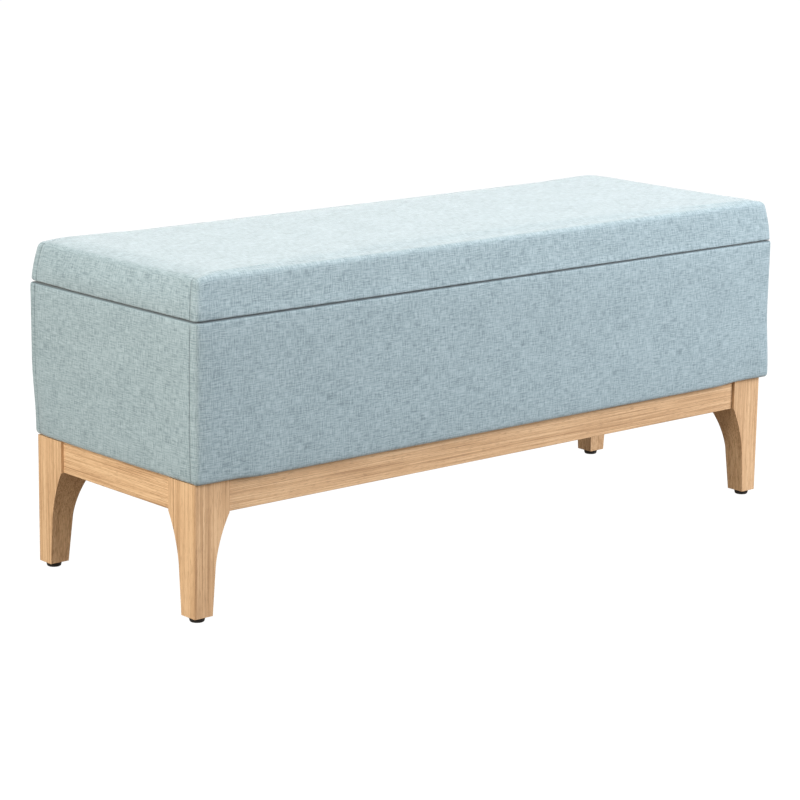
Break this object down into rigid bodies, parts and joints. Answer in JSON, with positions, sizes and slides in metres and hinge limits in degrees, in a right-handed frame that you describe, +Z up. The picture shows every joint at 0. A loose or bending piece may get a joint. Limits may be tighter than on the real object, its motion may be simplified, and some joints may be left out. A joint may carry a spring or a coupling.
{
  "type": "storage bench",
  "caption": "Upholstered storage bench with a hinged padded lid, a lined storage box and a wooden leg frame with tapered legs.",
  "frame": {"origin": "on the floor under the middle of the bench", "axes": "+X along the length to the right as seen from the front, -Y towards the front, +Z up"},
  "size_m": [1.1, 0.38, 0.46],
  "materials": {
    "oak_wood": "clear satin varnish over straight grain",
    "board": "raw engineered board",
    "upholstery_fabric": "matte linen-look plain weave",
    "lining_fabric": "matte felt-like cloth",
    "dust_cloth": "thin matte nonwoven",
    "foam": "open-cell foam",
    "black_plastic": "satin moulded",
    "bumper_rubber": "matte",
    "steel": "zinc plated"
  },
  "bodies": {
    "base": {"back_panel": "board", "base_bolts": "steel", "body_cover": "upholstery_fabric", "bolt_washers": "steel", "bottom_panel": "board", "corner_block_back_left": "oak_wood", "corner_block_back_right": "oak_wood", "corner_block_front_left": "oak_wood", "corner_block_front_right": "oak_wood", "corner_block_screws": "steel", "cross_rail": "oak_wood", "dust_cover": "dust_cloth", "foam_back": "foam", "foam_front": "foam", "foam_left": "foam", "foam_right": "foam", "foot_glide_back_left": "black_plastic", "foot_glide_back_right": "black_plastic", "foot_glide_front_left": "black_plastic", "foot_glide_front_right": "black_plastic", "front_panel": "board", "glide_screws": "steel", "hinge_left_box_leaf": "steel", "hinge_left_pin": "steel", "hinge_right_box_leaf": "steel", "hinge_right_pin": "steel", "hinge_screws_box": "steel", "left_end_panel": "board", "leg_back_left": "oak_wood", "leg_back_right": "oak_wood", "leg_front_left": "oak_wood", "leg_front_right": "oak_wood", "lid_bumpers": "bumper_rubber", "lining": "lining_fabric", "rail_back": "oak_wood", "rail_front": "oak_wood", "rail_left": "oak_wood", "rail_right": "oak_wood", "right_end_panel": "board", "stay_left_box_plate": "steel", "stay_right_box_plate": "steel", "stay_screws_box": "steel", "tee_nuts": "steel"},
    "lid": {"hinge_left_lid_leaf": "steel", "hinge_right_lid_leaf": "steel", "hinge_screws_lid": "steel", "lid_board": "board", "lid_cover": "upholstery_fabric", "lid_foam": "foam", "lid_lining": "lining_fabric", "stay_left_lid_bracket": "steel", "stay_right_lid_bracket": "steel", "stay_screws_lid": "steel"},
    "stay_left_long_arm": {"stay_left_long_arm": "steel", "stay_left_elbow_pin": "steel"},
    "stay_left_short_arm": {"stay_left_short_arm": "steel"},
    "stay_right_long_arm": {"stay_right_long_arm": "steel", "stay_right_elbow_pin": "steel"},
    "stay_right_short_arm": {"stay_right_short_arm": "steel"}
  },
  "joints": [
    {"name": "lid_hinge", "type": "hinge", "parent": "base", "child": "lid", "pos_m": [0, 0.186, 0.402], "axis": [-1, 0, 0], "range_deg": [0, 95]},
    {"name": "stay_left_box_pivot", "type": "hinge", "parent": "base", "child": "stay_left_long_arm", "pos_m": [-0.5205, 0.156, 0.35], "axis": [-1, 0, 0], "range_deg": [0, 95]},
    {"name": "stay_left_lid_pivot", "type": "hinge", "parent": "lid", "child": "stay_left_short_arm", "pos_m": [-0.5175, 0.076, 0.39], "axis": [-1, 0, 0], "range_deg": [-95, 0]},
    {"name": "stay_right_box_pivot", "type": "hinge", "parent": "base", "child": "stay_right_long_arm", "pos_m": [0.5205, 0.156, 0.35], "axis": [-1, 0, 0], "range_deg": [0, 95]},
    {"name": "stay_right_lid_pivot", "type": "hinge", "parent": "lid", "child": "stay_right_short_arm", "pos_m": [0.5175, 0.076, 0.39], "axis": [-1, 0, 0], "range_deg": [-95, 0]}
  ],
  "couplings": [
    {"joint": "stay_left_box_pivot", "follows": "lid_hinge", "ratio": 1},
    {"joint": "stay_left_lid_pivot", "follows": "lid_hinge", "ratio": -1},
    {"joint": "stay_right_box_pivot", "follows": "lid_hinge", "ratio": 1},
    {"joint": "stay_right_lid_pivot", "follows": "lid_hinge", "ratio": -1}
  ]
}
